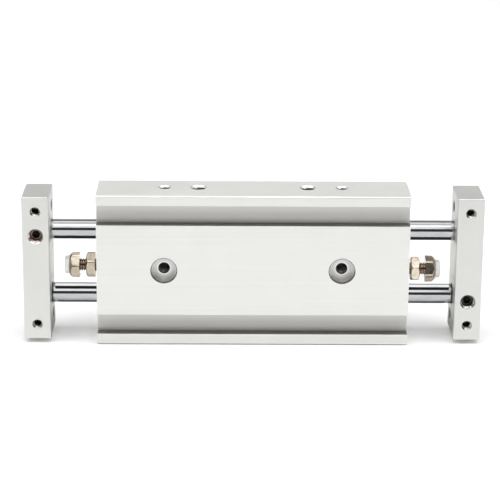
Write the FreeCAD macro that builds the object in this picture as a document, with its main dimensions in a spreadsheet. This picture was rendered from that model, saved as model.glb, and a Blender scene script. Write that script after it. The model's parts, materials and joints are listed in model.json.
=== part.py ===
import FreeCAD, Part
import math
import os
import re

import Sketcher
from FreeCAD import Placement, Rotation, Vector

# Double rod pneumatic cylinder with two parallel bores, in millimetres.
# X runs along the rods, Y from the front face to the back, Z up. The origin is on the floor
# under the middle of the housing, and the carriage stands at mid stroke.

SIZES = (
    # extruded housing
    ("housing_length", 93.0),
    ("housing_depth", 18.0),
    ("housing_height", 46.0),
    ("housing_edge_radius", 0.5),
    ("groove_lip_radius", 0.25),
    ("flange_height", 3.1),
    ("switch_groove_width", 6.0),
    ("switch_groove_depth", 3.0),
    # the two bores
    ("rod_pitch", 20.0),
    ("bore_setback", 1.0),
    ("bore_diameter", 10.0),
    ("chamber_length", 35.2),
    ("cover_seat_diameter", 10.8),
    ("seat_lead_in", 0.3),
    # running and seated clearances, on the radius or on a face
    ("running_clearance", 0.03),
    ("piston_clearance", 0.05),
    ("seated_clearance", 0.02),
    ("thread_clearance", 0.05),
    # air ports and mounting holes of the housing
    ("port_spacing", 32.6),
    ("port_tap_diameter", 4.2),
    ("port_depth", 5.5),
    ("port_mouth", 0.45),
    ("air_passage_diameter", 2.5),
    ("mount_spacing", 53.0),
    ("mount_hole_diameter", 3.4),
    ("counterbore_diameter", 7.6),
    ("counterbore_depth", 3.0),
    ("counterbore_mouth", 0.2),
    ("side_tap_diameter", 3.3),
    ("side_tap_depth", 5.0),
    ("side_tap_mouth", 0.35),
    # rod covers and what holds and seals them
    ("ring_setback", 1.2),
    ("ring_thickness", 1.0),
    ("ring_groove_diameter", 11.6),
    ("ring_bore_diameter", 9.5),
    ("ring_gap", 2.2),
    ("ring_ear_diameter", 1.9),
    ("ring_ear_drop", 0.4),
    ("ring_ear_hole_diameter", 0.9),
    ("rod_seal_diameter", 9.0),
    ("rod_seal_length", 2.5),
    ("rod_seal_setback", 1.2),
    ("seal_lip_opening", 0.5),
    ("seal_lip_depth", 0.9),
    ("cover_groove_diameter", 9.4),
    ("cover_groove_width", 1.1),
    ("cover_groove_setback", 5.0),
    # rods
    ("rod_diameter", 6.0),
    ("rod_end_chamfer", 0.3),
    ("rod_end_recess", 0.4),
    ("rod_seat_depth", 2.8),
    ("rod_seat_mouth", 0.3),
    ("rod_tap_depth", 7.5),
    # pistons
    ("piston_length", 22.0),
    ("piston_nose_length", 1.2),
    ("piston_nose_diameter", 9.0),
    ("piston_groove_spacing", 8.0),
    ("piston_groove_diameter", 7.4),
    ("piston_seal_groove_width", 1.6),
    ("magnet_width", 2.4),
    ("magnet_recess", 0.15),
    ("clip_recess_diameter", 7.5),
    ("clip_recess_depth", 1.0),
    ("clip_diameter", 7.2),
    ("clip_thickness", 0.7),
    ("clip_groove_diameter", 5.2),
    ("clip_gap", 1.6),
    ("cushion_thickness", 1.6),
    ("cushion_diameter", 8.4),
    # end plates
    ("plate_gap", 14.0),
    ("plate_thickness", 8.0),
    ("plate_depth", 16.0),
    ("plate_setback", 0.5),
    ("plate_height", 44.0),
    ("plate_edge_radius", 0.4),
    ("front_tap_diameter", 2.5),
    ("front_tap_mouth", 0.3),
    ("front_tap_spacing", 34.9),
    ("front_tap_depth", 6.0),
    ("axial_tap_diameter", 3.3),
    ("axial_tap_mouth", 0.2),
    ("axial_tap_spacing", 34.0),
    ("axial_tap_setback", 1.8),
    # clamp screws and rod bolts
    ("clamp_screw_diameter", 4.0),
    ("clamp_screw_length", 3.2),
    ("clamp_screw_mouth", 0.3),
    ("clamp_socket_width", 2.0),
    ("clamp_socket_depth", 1.5),
    ("clamp_point_length", 0.7),
    ("clamp_point_diameter", 2.2),
    ("rod_bolt_diameter", 3.0),
    ("rod_bolt_engagement", 6.0),
    ("rod_bolt_hole_diameter", 3.4),
    ("rod_bolt_head_diameter", 5.5),
    ("rod_bolt_head_length", 3.0),
    ("rod_bolt_head_chamfer", 0.3),
    ("rod_bolt_counterbore_diameter", 6.0),
    ("rod_bolt_counterbore_depth", 3.2),
    ("rod_bolt_socket_width", 2.5),
    ("rod_bolt_socket_depth", 1.5),
    # adjustable end stops: bolt, lock nut and bumper
    ("stop_forward", 1.0),
    ("left_stop_drop", 0.9),
    ("right_stop_drop", 1.8),
    ("stop_thread_diameter", 4.0),
    ("stop_thread_engagement", 9.0),
    ("stop_hole_depth", 11.5),
    ("stop_hole_mouth", 0.25),
    ("left_nut_gap", 0.85),
    ("right_nut_gap", 1.1),
    ("stop_nut_width", 7.0),
    ("stop_nut_length", 2.65),
    ("stop_head_standoff", 5.5),
    ("stop_head_width", 7.0),
    ("stop_head_length", 3.0),
    ("nut_face_inset", 0.25),
    ("head_face_inset", 0.4),
    ("left_nut_turn", 27.5),
    ("left_head_turn", 5.5),
    ("right_nut_turn", 39.5),
    ("right_head_turn", 12.5),
    ("bumper_diameter", 5.4),
    ("bumper_proud", 1.45),
    ("bumper_edge_chamfer", 0.25),
    ("bumper_stem_diameter", 3.6),
    ("bumper_stem_length", 1.8),
)

WORD = re.compile(r"[a-z]\w+\b(?!\()")
# Slopes of the turned corners of a hexagon, length over radius
NUT_CHAMFER_SLOPE = math.tan(math.radians(30))
HEAD_CHAMFER_SLOPE = math.tan(math.radians(45))

# Direction in which a cylinder, cone or prism grows from its base
GROWS = {
    "+X": Rotation(Vector(1, 1, 1), 120),
    "-X": Rotation(Vector(0, 1, 0), -90),
    "+Y": Rotation(Vector(1, 0, 0), -90),
    "-Y": Rotation(Vector(1, 0, 0), 90),
    "+Z": Rotation(),
    "-Z": Rotation(Vector(1, 0, 0), 180),
}
HALF_TURN_Z = Rotation(Vector(0, 0, 1), 180)
HALF_TURN_Y = Rotation(Vector(0, 1, 0), 180)

# The two rods and the two ends: name, sign
ROWS = (("upper", "+"), ("lower", "-"))
ENDS = (("left", "-"), ("right", "+"))

# Formulas that many pieces share
MID_HEIGHT = "(housing_height / 2)"
HOUSING_END = "(housing_length / 2)"
CHAMBER_END = "(chamber_length / 2)"
PLATE_INNER = "(housing_length / 2 + plate_gap)"
PLATE_OUTER = "(housing_length / 2 + plate_gap + plate_thickness)"
ROD_BORE_RADIUS = "(rod_diameter / 2 + running_clearance)"
COVER_LENGTH = "(housing_length / 2 - chamber_length / 2 - ring_setback - ring_thickness - seated_clearance)"
PISTON_GROOVE_RADIUS = "(piston_groove_diameter / 2)"
STOP_HEAD_BACK = "(housing_length / 2 + stop_head_standoff)"
STOP_HEAD_FACE = "(housing_length / 2 + stop_head_standoff + stop_head_length)"
STOP_Y = "(bore_setback - stop_forward)"
PLATE_FRONT = "(plate_setback - plate_depth / 2 - bore_setback)"

doc = FreeCAD.newDocument("double_rod_cylinder")
sheet = doc.addObject("Spreadsheet::Sheet", "Sizes")
nodes = {}


def fill_sheet():
    for row, (word, value) in enumerate(SIZES, start=1):
        sheet.set(f"A{row}", word)
        sheet.set(f"B{row}", str(value))
        sheet.setAlias(f"B{row}", word)
    doc.recompute()


def size(word):
    return float(getattr(sheet, word))


def bind(item, prop, formula):
    """Tie a property to a formula whose words are names of cells."""
    item.setExpression(prop, WORD.sub(lambda word: "Sizes." + word.group(0), formula))


def place(item, at, turn):
    item.Placement = Placement(Vector(), turn)
    for letter, formula in zip("xyz", at):
        bind(item, f"Placement.Base.{letter}", formula)
    return item


def node(label, item):
    item.Label = label
    nodes[label] = item
    return item


def rod_height(sign):
    return f"(housing_height / 2 {sign} rod_pitch / 2)"


def stop_height(end):
    return f"(housing_height / 2 - {end}_stop_drop)"


def outward(sign):
    """Turn a piece drawn for the right end so that it faces out of either end."""
    return Rotation() if sign == "+" else HALF_TURN_Z


# Solids of one step

def cylinder(name, radius, length, grows, at=("0", "0", "0")):
    item = doc.addObject("Part::Cylinder", name)
    bind(item, "Radius", radius)
    bind(item, "Height", length)
    return place(item, at, GROWS[grows])


def cone(name, radius, end_radius, length, grows, at=("0", "0", "0")):
    item = doc.addObject("Part::Cone", name)
    bind(item, "Radius1", radius)
    bind(item, "Radius2", end_radius)
    bind(item, "Height", length)
    return place(item, at, GROWS[grows])


def hexagon(name, width, length, grows, at=("0", "0", "0")):
    item = doc.addObject("Part::Prism", name)
    item.Polygon = 6
    bind(item, "Circumradius", f"({width}) / sqrt(3)")
    bind(item, "Height", length)
    return place(item, at, GROWS[grows])


def box(name, lengths, at):
    item = doc.addObject("Part::Box", name)
    for prop, formula in zip(("Length", "Width", "Height"), lengths):
        bind(item, prop, formula)
    return place(item, at, Rotation())


def torus(name, ring_radius, cord_radius):
    item = doc.addObject("Part::Torus", name)
    bind(item, "Radius1", ring_radius)
    bind(item, "Radius2", cord_radius)
    return item


def fused(name, items):
    item = doc.addObject("Part::MultiFuse", name)
    item.Shapes = items
    return item


def cut(name, base, tools):
    item = doc.addObject("Part::Cut", name)
    item.Base = base
    item.Tool = fused(name + "_tools", tools) if len(tools) > 1 else tools[0]
    return item


def drilled(name, grows, at, radius, depth, mouth):
    """Tools for a round hole that starts at a face and has a chamfered mouth."""
    return [
        cylinder(name, radius, depth, grows, at),
        cone(name + "_mouth", f"{radius} + {mouth}", radius, mouth, grows, at),
    ]


def outline(body, name, role, corners):
    """A closed sketch whose corners are each held by two distances from the origin."""
    plane = [item for item in body.Origin.OriginFeatures if item.Role == role][0]
    sketch = body.newObject("Sketcher::SketchObject", name)
    sketch.AttachmentSupport = [(plane, "")]
    sketch.MapMode = "FlatFace"
    count = len(corners)
    step = 2 * math.pi / count
    rough = [Vector(2 + math.cos(i * step), 2 + math.sin(i * step)) for i in range(count)]
    for i in range(count):
        sketch.addGeometry(Part.LineSegment(rough[i], rough[(i + 1) % count]), False)
    for i in range(count):
        sketch.addConstraint(Sketcher.Constraint("Coincident", i, 2, (i + 1) % count, 1))
    for i, corner in enumerate(corners):
        for kind, start, formula in zip(("DistanceX", "DistanceY"), rough[i], corner):
            index = sketch.addConstraint(Sketcher.Constraint(kind, -1, 1, i, 1, start))
            bind(sketch, f"Constraints[{index}]", formula)
    return sketch


def turned(name, corners):
    """A body turned about X from an outline of (distance along X, radius) corners."""
    body = doc.addObject("PartDesign::Body", name)
    sketch = outline(body, name + "_outline", "XY_Plane", corners)
    turn = body.newObject("PartDesign::Revolution", name + "_turn")
    turn.Profile = sketch
    turn.ReferenceAxis = (sketch, ["H_Axis"])
    turn.Angle = 360
    body.Tip = turn
    return body


# Housing

def housing_profile():
    """The extrusion: two flanges, two switch grooves and a centre boss on the front face."""
    body = doc.addObject("PartDesign::Body", "housing_profile")
    top_flange = "housing_height - flange_height"
    boss_bottom = "flange_height + switch_groove_width"
    boss_top = f"housing_height - ({boss_bottom})"
    sketch = outline(body, "housing_section", "YZ_Plane", (
        ("0", "0"),
        ("housing_depth", "0"),
        ("housing_depth", "housing_height"),
        ("0", "housing_height"),
        ("0", top_flange),
        ("switch_groove_depth", top_flange),
        ("switch_groove_depth", boss_top),
        ("0", boss_top),
        ("0", boss_bottom),
        ("switch_groove_depth", boss_bottom),
        ("switch_groove_depth", "flange_height"),
        ("0", "flange_height"),
    ))
    pad = body.newObject("PartDesign::Pad", "housing_extrusion")
    pad.Profile = sketch
    bind(pad, "Length", "housing_length")
    body.Tip = pad
    doc.recompute()
    corners, lips = long_edges(pad.Shape)
    rounded = pad
    for name, edges, radius in (
        ("housing_corners", corners, "housing_edge_radius"),
        ("groove_lips", lips, "groove_lip_radius"),
    ):
        names = [f"Edge{number}" for number in matching_edges(rounded.Shape, edges)]
        fillet = body.newObject("PartDesign::Fillet", name)
        fillet.Base = (rounded, names)
        bind(fillet, "Radius", radius)
        body.Tip = fillet
        doc.recompute()
        rounded = fillet
    return place(body, ("-housing_length / 2", "-housing_depth / 2", "0"), Rotation())


def long_edges(shape):
    """Middles of the edges along X: the four outer corners, then the lips of the grooves."""
    limits = shape.BoundBox
    along = [e for e in shape.Edges if abs(e.BoundBox.XLength - limits.XLength) < 1e-6]
    middles = [e.CenterOfMass for e in along]
    front = [m for m in middles if abs(m.y - limits.YMin) < 1e-6]
    corners = [m for m in middles if min(abs(m.z - limits.ZMin), abs(m.z - limits.ZMax)) < 1e-6]
    lips = [m for m in front if m not in corners]
    return corners, lips


def matching_edges(shape, middles):
    numbers = []
    for number, edge in enumerate(shape.Edges, start=1):
        if any((edge.CenterOfMass - middle).Length < 1e-4 for middle in middles):
            numbers.append(number)
    return numbers


def bore_tools(row, sign):
    """Chamber, cover seats and ring grooves of one bore."""
    height = rod_height(sign)
    tools = [cylinder(f"{row}_chamber", "bore_diameter / 2", "chamber_length", "+X",
                      ("-chamber_length / 2", "bore_setback", height))]
    ring_space = "ring_thickness + 2 * seated_clearance"
    ring_outer = f"{HOUSING_END} - ring_setback + seated_clearance"
    for end, side in ENDS:
        inward = "+X" if side == "-" else "-X"
        face = (f"{side}housing_length / 2", "bore_setback", height)
        tools += drilled(f"{row}_{end}_seat", inward, face, "cover_seat_diameter / 2",
                         f"{HOUSING_END} - {CHAMBER_END}", "seat_lead_in")
        tools.append(cylinder(f"{row}_{end}_ring_groove", "ring_groove_diameter / 2", ring_space, inward,
                              (f"{side}({ring_outer})", "bore_setback", height)))
    return tools


def side_tools(end, side):
    """Port, mounting holes and stop hole at one end of the housing."""
    top = "housing_height"
    port_x = f"{side}port_spacing / 2"
    mount_x = f"{side}mount_spacing / 2"
    tools = drilled(f"{end}_port", "-Z", (port_x, "bore_setback", top),
                    "port_tap_diameter / 2", "port_depth", "port_mouth")
    # the passage runs on through the upper bore and ends inside the lower one
    tools.append(cylinder(f"{end}_air_passage", "air_passage_diameter / 2",
                          f"housing_height - {rod_height('-')}", "-Z", (port_x, "bore_setback", top)))
    tools += drilled(f"{end}_side_tap", "-Z", (mount_x, "bore_setback", top),
                     "side_tap_diameter / 2", "side_tap_depth", "side_tap_mouth")
    tools.append(cylinder(f"{end}_mount_hole", "mount_hole_diameter / 2", "housing_depth", "+Y",
                          (mount_x, "-housing_depth / 2", MID_HEIGHT)))
    for face, inward, face_y in (("front", "+Y", "-housing_depth / 2"), ("back", "-Y", "housing_depth / 2")):
        tools += drilled(f"{end}_{face}_counterbore", inward, (mount_x, face_y, MID_HEIGHT),
                         "counterbore_diameter / 2", "counterbore_depth", "counterbore_mouth")
    tools += drilled(f"{end}_stop_hole", "+X" if side == "-" else "-X",
                     (f"{side}housing_length / 2", STOP_Y, stop_height(end)),
                     "stop_thread_diameter / 2", "stop_hole_depth", "stop_hole_mouth")
    return tools


def build_housing():
    tools = []
    for row, sign in ROWS:
        tools += bore_tools(row, sign)
    for end, side in ENDS:
        tools += side_tools(end, side)
    node("housing", cut("housing_cut", housing_profile(), tools))


# Rod covers with their seals and rings, four of each

def rod_cover(name):
    gland_end = f"{COVER_LENGTH} - rod_seal_setback"
    gland_start = f"{gland_end} - rod_seal_length - 2 * seated_clearance"
    groove_end = "cover_groove_setback + cover_groove_width"
    outer = "cover_seat_diameter / 2 - seated_clearance"
    return turned(name, (
        ("0", ROD_BORE_RADIUS),
        (gland_start, ROD_BORE_RADIUS),
        (gland_start, "rod_seal_diameter / 2"),
        (gland_end, "rod_seal_diameter / 2"),
        (gland_end, ROD_BORE_RADIUS),
        (COVER_LENGTH, ROD_BORE_RADIUS),
        (COVER_LENGTH, outer),
        (groove_end, outer),
        (groove_end, "cover_groove_diameter / 2"),
        ("cover_groove_setback", "cover_groove_diameter / 2"),
        ("cover_groove_setback", outer),
        ("0", outer),
    ))


def rod_seal(name):
    """A lip seal, open towards the chamber."""
    outer = "(rod_seal_diameter / 2 - seated_clearance)"
    middle = f"({outer} + {ROD_BORE_RADIUS}) / 2"
    return turned(name, (
        ("0", ROD_BORE_RADIUS),
        ("rod_seal_length", ROD_BORE_RADIUS),
        ("rod_seal_length", outer),
        ("0", outer),
        ("0", f"{middle} + seal_lip_opening"),
        ("seal_lip_depth", middle),
        ("0", f"{middle} - seal_lip_opening"),
    ))


def cover_o_ring(name):
    space = "(cover_seat_diameter / 2 - cover_groove_diameter / 2)"
    return torus(name, f"cover_groove_diameter / 2 + {space} / 2", f"{space} / 2 - seated_clearance")


def retaining_ring(name):
    """An internal spring ring with two ears beside its gap."""
    ear_y = "(ring_gap / 2 + ring_ear_diameter / 2)"
    ear_z = "-(ring_bore_diameter / 2 - ring_ear_drop)"
    band = cut(name + "_band", cylinder(name + "_blank", "ring_groove_diameter / 2 - seated_clearance",
                                        "ring_thickness", "+X"),
               [cylinder(name + "_bore", "ring_bore_diameter / 2", "ring_thickness", "+X")])
    ears = []
    holes = []
    for hand in "-+":
        at = ("0", f"{hand}{ear_y}", ear_z)
        ears.append(cylinder(f"{name}_ear", "ring_ear_diameter / 2", "ring_thickness", "+X", at))
        holes.append(cylinder(f"{name}_ear_hole", "ring_ear_hole_diameter / 2", "ring_thickness", "+X", at))
    gap = box(name + "_gap", ("ring_thickness", "ring_gap", "ring_groove_diameter / 2"),
              ("0", "-ring_gap / 2", "-ring_groove_diameter / 2"))
    return cut(name + "_ring", fused(name + "_eared", [band] + ears), [gap] + holes)


def build_covers():
    for row, sign in ROWS:
        for end, side in ENDS:
            name = f"{row}_{end}"
            height = rod_height(sign)
            turn = outward(side)
            gland_start = f"{COVER_LENGTH} - rod_seal_setback - rod_seal_length - seated_clearance"
            groove_middle = "cover_groove_setback + cover_groove_width / 2"
            for label, item, along, turned_to in (
                ("rod_cover", rod_cover(name + "_cover"), CHAMBER_END, turn),
                ("rod_seal", rod_seal(name + "_seal"), f"{CHAMBER_END} + {gland_start}", turn),
                ("cover_o_ring", cover_o_ring(name + "_o_ring"), f"{CHAMBER_END} + {groove_middle}",
                 GROWS["+X"]),
                ("retaining_ring", retaining_ring(name + "_retainer"),
                 f"{HOUSING_END} - ring_setback - ring_thickness", turn),
            ):
                place(item, (f"{side}({along})", "bore_setback", height), turned_to)
                node(f"{name}_{label}", item)


# Carriage: two rods with their pistons, held at both ends in the plates

def rod(name):
    """A rod drawn from its clamped end; its far end is tapped for the rod bolt."""
    radius = "rod_diameter / 2"
    middle = f"({PLATE_OUTER} - rod_end_recess)"
    length = f"({middle} + {PLATE_INNER} + rod_seat_depth)"
    clip_inner = "(piston_length / 2 - clip_recess_depth)"
    clip_outer = f"({clip_inner} + clip_thickness + 2 * seated_clearance)"
    corners = [
        ("0", "0"),
        ("0", f"{radius} - rod_end_chamfer"),
        ("rod_end_chamfer", radius),
    ]
    for start, end in ((f"{middle} - {clip_outer}", f"{middle} - {clip_inner}"),
                       (f"{middle} + {clip_inner}", f"{middle} + {clip_outer}")):
        corners += [
            (start, radius),
            (start, "clip_groove_diameter / 2"),
            (end, "clip_groove_diameter / 2"),
            (end, radius),
        ]
    corners += [
        (f"{length} - rod_end_chamfer", radius),
        (length, f"{radius} - rod_end_chamfer"),
        (length, "rod_bolt_diameter / 2"),
        (f"{length} - rod_tap_depth", "rod_bolt_diameter / 2"),
        (f"{length} - rod_tap_depth", "0"),
    ]
    return turned(name, corners)


def piston(name):
    bore = "rod_diameter / 2 + seated_clearance"
    outer = "bore_diameter / 2 - piston_clearance"
    nose = "piston_nose_diameter / 2"
    recess = "clip_recess_diameter / 2"
    middle = "piston_length / 2"
    seal_half = "piston_seal_groove_width / 2"
    magnet_half = "(magnet_width / 2 + seated_clearance)"
    corners = [
        ("clip_recess_depth", bore),
        ("piston_length - clip_recess_depth", bore),
        ("piston_length - clip_recess_depth", recess),
        ("piston_length", recess),
        ("piston_length", nose),
        ("piston_length - piston_nose_length", nose),
        ("piston_length - piston_nose_length", outer),
    ]
    for centre, half in ((f"{middle} + piston_groove_spacing / 2", magnet_half),
                         (f"{middle} - piston_groove_spacing / 2", seal_half)):
        corners += [
            (f"{centre} + {half}", outer),
            (f"{centre} + {half}", PISTON_GROOVE_RADIUS),
            (f"{centre} - {half}", PISTON_GROOVE_RADIUS),
            (f"{centre} - {half}", outer),
        ]
    corners += [
        ("piston_nose_length", outer),
        ("piston_nose_length", nose),
        ("0", nose),
        ("0", recess),
        ("clip_recess_depth", recess),
    ]
    return turned(name, corners)


def piston_seal(name):
    space = f"(bore_diameter / 2 - running_clearance - {PISTON_GROOVE_RADIUS} - seated_clearance)"
    return torus(name, f"{PISTON_GROOVE_RADIUS} + seated_clearance + {space} / 2", f"{space} / 2")


def tube(name, bore_radius, outer_radius, length):
    return turned(name, (
        ("0", bore_radius),
        (length, bore_radius),
        (length, outer_radius),
        ("0", outer_radius),
    ))


def magnet(name):
    return tube(name, f"{PISTON_GROOVE_RADIUS} + seated_clearance",
                "bore_diameter / 2 - piston_clearance - magnet_recess", "magnet_width")


def cushion(name):
    return tube(name, "rod_diameter / 2 + seated_clearance", "cushion_diameter / 2", "cushion_thickness")


def clip(name):
    """A spring clip, open at one side, that seats in a groove of the rod."""
    band = tube(name + "_band", "clip_groove_diameter / 2 + seated_clearance", "clip_diameter / 2",
                "clip_thickness")
    gap = box(name + "_gap", ("clip_thickness", "clip_gap", "clip_diameter / 2"), ("0", "-clip_gap / 2", "0"))
    return cut(name + "_open", band, [gap])


def both_sides(label, make, distance, height):
    """A pair of equal pieces, one on each side of a piston, as one node of two solids."""
    pair = []
    for end, side in ENDS:
        item = make(f"{label}_{end}")
        pair.append(place(item, (f"{side}({distance})", "bore_setback", height), outward(side)))
    group = doc.addObject("Part::Compound", label + "_pair")
    group.Links = pair
    node(label, group)


def build_rods():
    clip_start = "piston_length / 2 - clip_recess_depth + seated_clearance"
    for row, sign in ROWS:
        height = rod_height(sign)
        # the upper rod is clamped in the left plate, the lower one in the right plate
        clamped = "-" if row == "upper" else "+"
        turn = Rotation() if row == "upper" else HALF_TURN_Z
        clamped_end = f"{clamped}({PLATE_OUTER} - rod_end_recess)"
        for label, item, along, turned_to in (
            ("rod", rod(f"{row}_rod_body"), clamped_end, turn),
            ("piston", piston(f"{row}_piston_body"), "-piston_length / 2", Rotation()),
            ("piston_seal", piston_seal(f"{row}_seal_ring"), "-piston_groove_spacing / 2", GROWS["+X"]),
            ("piston_magnet", magnet(f"{row}_magnet_ring"), "piston_groove_spacing / 2 - magnet_width / 2",
             Rotation()),
        ):
            place(item, (along, "bore_setback", height), turned_to)
            node(f"{row}_{label}", item)
        both_sides(f"{row}_piston_cushions", cushion, "piston_length / 2", height)
        both_sides(f"{row}_piston_clips", clip, clip_start, height)


def plate(name):
    """An end plate drawn for the right end: inner face at X zero, rod axes at Y zero."""
    blank = box(name + "_blank", ("plate_thickness", "plate_depth", "plate_height"),
                ("0", PLATE_FRONT, "-plate_height / 2"))
    doc.recompute()
    rounded = doc.addObject("Part::Fillet", name + "_rounded")
    rounded.Base = blank
    radius = size("plate_edge_radius")
    rounded.Edges = [(number, radius, radius) for number in range(1, len(blank.Shape.Edges) + 1)]
    seat_radius = "rod_diameter / 2 + seated_clearance"
    middle = "plate_thickness / 2"
    clamp_z = "-rod_pitch / 2"
    bolt_z = "rod_pitch / 2"
    tools = drilled(name + "_clamp_bore", "+X", ("0", "0", clamp_z), seat_radius, "plate_thickness",
                    "rod_seat_mouth")
    tools += drilled(name + "_rod_seat", "+X", ("0", "0", bolt_z), seat_radius, "rod_seat_depth",
                     "rod_seat_mouth")
    tools += [
        cylinder(name + "_bolt_hole", "rod_bolt_hole_diameter / 2", "plate_thickness", "+X",
                 ("0", "0", bolt_z)),
        cylinder(name + "_bolt_head", "rod_bolt_counterbore_diameter / 2", "rod_bolt_counterbore_depth", "-X",
                 ("plate_thickness", "0", bolt_z)),
    ]
    tools += drilled(name + "_clamp_hole", "+Y", (middle, PLATE_FRONT, clamp_z), "clamp_screw_diameter / 2",
                     f"-{PLATE_FRONT}", "clamp_screw_mouth")
    for hand, sign in (("top", "+"), ("bottom", "-")):
        front_z = f"{sign}front_tap_spacing / 2"
        tools += drilled(f"{name}_{hand}_front_tap", "+Y", (middle, PLATE_FRONT, front_z),
                         "front_tap_diameter / 2", "front_tap_depth", "front_tap_mouth")
        axial_z = f"{sign}axial_tap_spacing / 2"
        tools += drilled(f"{name}_{hand}_axial_tap", "+X", ("0", "axial_tap_setback", axial_z),
                         "axial_tap_diameter / 2", "plate_thickness", "axial_tap_mouth")
        tools.append(cone(f"{name}_{hand}_axial_mouth", "axial_tap_diameter / 2 + axial_tap_mouth",
                          "axial_tap_diameter / 2", "axial_tap_mouth", "-X",
                          ("plate_thickness", "axial_tap_setback", axial_z)))
    return cut(name + "_plate", rounded, tools)


def clamp_screw(name):
    """A socket set screw along Y, drawn from its socket face to its point."""
    radius = "(clamp_screw_diameter / 2 - thread_clearance)"
    straight = "(clamp_screw_length - clamp_point_length)"
    shank = cylinder(name + "_shank", radius, straight, "+Y")
    point = cone(name + "_point", radius, "clamp_point_diameter / 2", "clamp_point_length", "+Y",
                 ("0", straight, "0"))
    socket = hexagon(name + "_socket", "clamp_socket_width", "clamp_socket_depth", "+Y")
    return cut(name + "_screw", fused(name + "_blank", [shank, point]), [socket])


def rod_bolt(name):
    """A socket cap screw along X, its head growing out of the origin."""
    web = "(plate_thickness - rod_seat_depth - rod_bolt_counterbore_depth)"
    head_radius = "rod_bolt_head_diameter / 2"
    plain_head = "(rod_bolt_head_length - rod_bolt_head_chamfer)"
    head = cylinder(name + "_head", head_radius, plain_head, "+X")
    crown = cone(name + "_crown", head_radius, f"{head_radius} - rod_bolt_head_chamfer",
                 "rod_bolt_head_chamfer", "+X", (plain_head, "0", "0"))
    shank = cylinder(name + "_shank", "rod_bolt_diameter / 2 - running_clearance",
                     f"{web} + rod_bolt_engagement", "-X")
    socket = hexagon(name + "_socket", "rod_bolt_socket_width", "rod_bolt_socket_depth", "-X",
                     ("rod_bolt_head_length", "0", "0"))
    return cut(name + "_bolt", fused(name + "_blank", [head, crown, shank]), [socket])


def build_plates():
    # the two plates are one part; the left one is turned half a turn about Y
    for end, side in ENDS:
        facing = Rotation() if side == "+" else HALF_TURN_Y
        item = plate(f"{end}_end")
        node(f"{end}_plate", place(item, (f"{side}{PLATE_INNER}", "bore_setback", MID_HEIGHT), facing))
        clamp_row = "-" if side == "+" else "+"
        bolt_row = side
        screw = clamp_screw(f"{end}_clamp")
        socket_face = "bore_setback - rod_diameter / 2 - thread_clearance - clamp_screw_length"
        screw_x = f"{side}({PLATE_INNER} + plate_thickness / 2)"
        node(f"{end}_clamp_screw", place(screw, (screw_x, socket_face, rod_height(clamp_row)), Rotation()))
        bolt = rod_bolt(f"{end}_rod_end")
        bolt_x = f"{side}({PLATE_OUTER} - rod_bolt_counterbore_depth)"
        node(f"{end}_rod_bolt", place(bolt, (bolt_x, "bore_setback", rod_height(bolt_row)), outward(side)))


# End stops

def hex_blank(name, width, length, inset, slope, chamfered_back):
    """A hexagon along X with the corners of its faces turned off."""
    face_radius = f"({width} / 2 - {inset})"
    corner_radius = f"({width} / sqrt(3))"
    chamfer = f"(({corner_radius} - {face_radius}) * {slope})"
    prism = hexagon(name + "_prism", width, length, "+X")
    pieces = [cone(name + "_front_turn", corner_radius, face_radius, chamfer, "+X",
                   (f"{length} - {chamfer}", "0", "0"))]
    if chamfered_back:
        pieces.append(cone(name + "_back_turn", face_radius, corner_radius, chamfer, "+X"))
        pieces.append(cylinder(name + "_middle", corner_radius, f"{length} - 2 * {chamfer}", "+X",
                               (chamfer, "0", "0")))
    else:
        pieces.append(cylinder(name + "_middle", corner_radius, f"{length} - {chamfer}", "+X"))
    common = doc.addObject("Part::Common", name + "_hex")
    common.Base = prism
    common.Tool = fused(name + "_envelope", pieces)
    return common


def stop_bolt(name):
    """A hex bolt, its head growing out of the origin and its thread running back from it."""
    head = hex_blank(name + "_head", "stop_head_width", "stop_head_length", "head_face_inset",
                     HEAD_CHAMFER_SLOPE, False)
    shank = cylinder(name + "_thread", "stop_thread_diameter / 2 - thread_clearance",
                     "stop_head_standoff + stop_thread_engagement", "-X")
    pocket = cylinder(name + "_pocket", "bumper_stem_diameter / 2 + thread_clearance",
                      "bumper_stem_length + thread_clearance", "-X", ("stop_head_length", "0", "0"))
    return cut(name + "_bolt", fused(name + "_blank", [head, shank]), [pocket])


def stop_nut(name):
    blank = hex_blank(name + "_nut", "stop_nut_width", "stop_nut_length", "nut_face_inset",
                      NUT_CHAMFER_SLOPE, True)
    return cut(name + "_tapped", blank, [
        cylinder(name + "_bore", "stop_thread_diameter / 2", "stop_nut_length", "+X"),
    ])


def bumper(name):
    """A urethane button: a stem in the bolt head and a disc that stands proud of it."""
    face = "bumper_stem_length + bumper_proud"
    return turned(name, (
        ("0", "0"),
        ("0", "bumper_stem_diameter / 2"),
        ("bumper_stem_length", "bumper_stem_diameter / 2"),
        ("bumper_stem_length", "bumper_diameter / 2"),
        (f"{face} - bumper_edge_chamfer", "bumper_diameter / 2"),
        (face, "bumper_diameter / 2 - bumper_edge_chamfer"),
        (face, "0"),
    ))


def build_stops():
    for end, side in ENDS:
        for label, item, along, turn_word in (
            ("stop_bolt", stop_bolt(f"{end}_stop"), STOP_HEAD_BACK, f"{end}_head_turn"),
            ("stop_nut", stop_nut(f"{end}_lock"), f"{HOUSING_END} + {end}_nut_gap", f"{end}_nut_turn"),
            ("bumper", bumper(f"{end}_bumper_body"), f"{STOP_HEAD_FACE} - bumper_stem_length", None),
        ):
            angle = size(turn_word) if turn_word else 0.0
            turn = outward(side).multiply(Rotation(Vector(1, 0, 0), angle))
            place(item, (f"{side}({along})", STOP_Y, stop_height(end)), turn)
            node(f"{end}_{label}", item)


def check_model():
    for item in doc.Objects:
        if "Invalid" in item.State or "Error" in item.State:
            raise RuntimeError(f"{item.Label} failed: {item.State}")
    for label, item in nodes.items():
        if item.Shape.isNull() or not item.Shape.isValid() or not item.Shape.Solids:
            raise RuntimeError(f"{label} has no valid solid")


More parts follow.
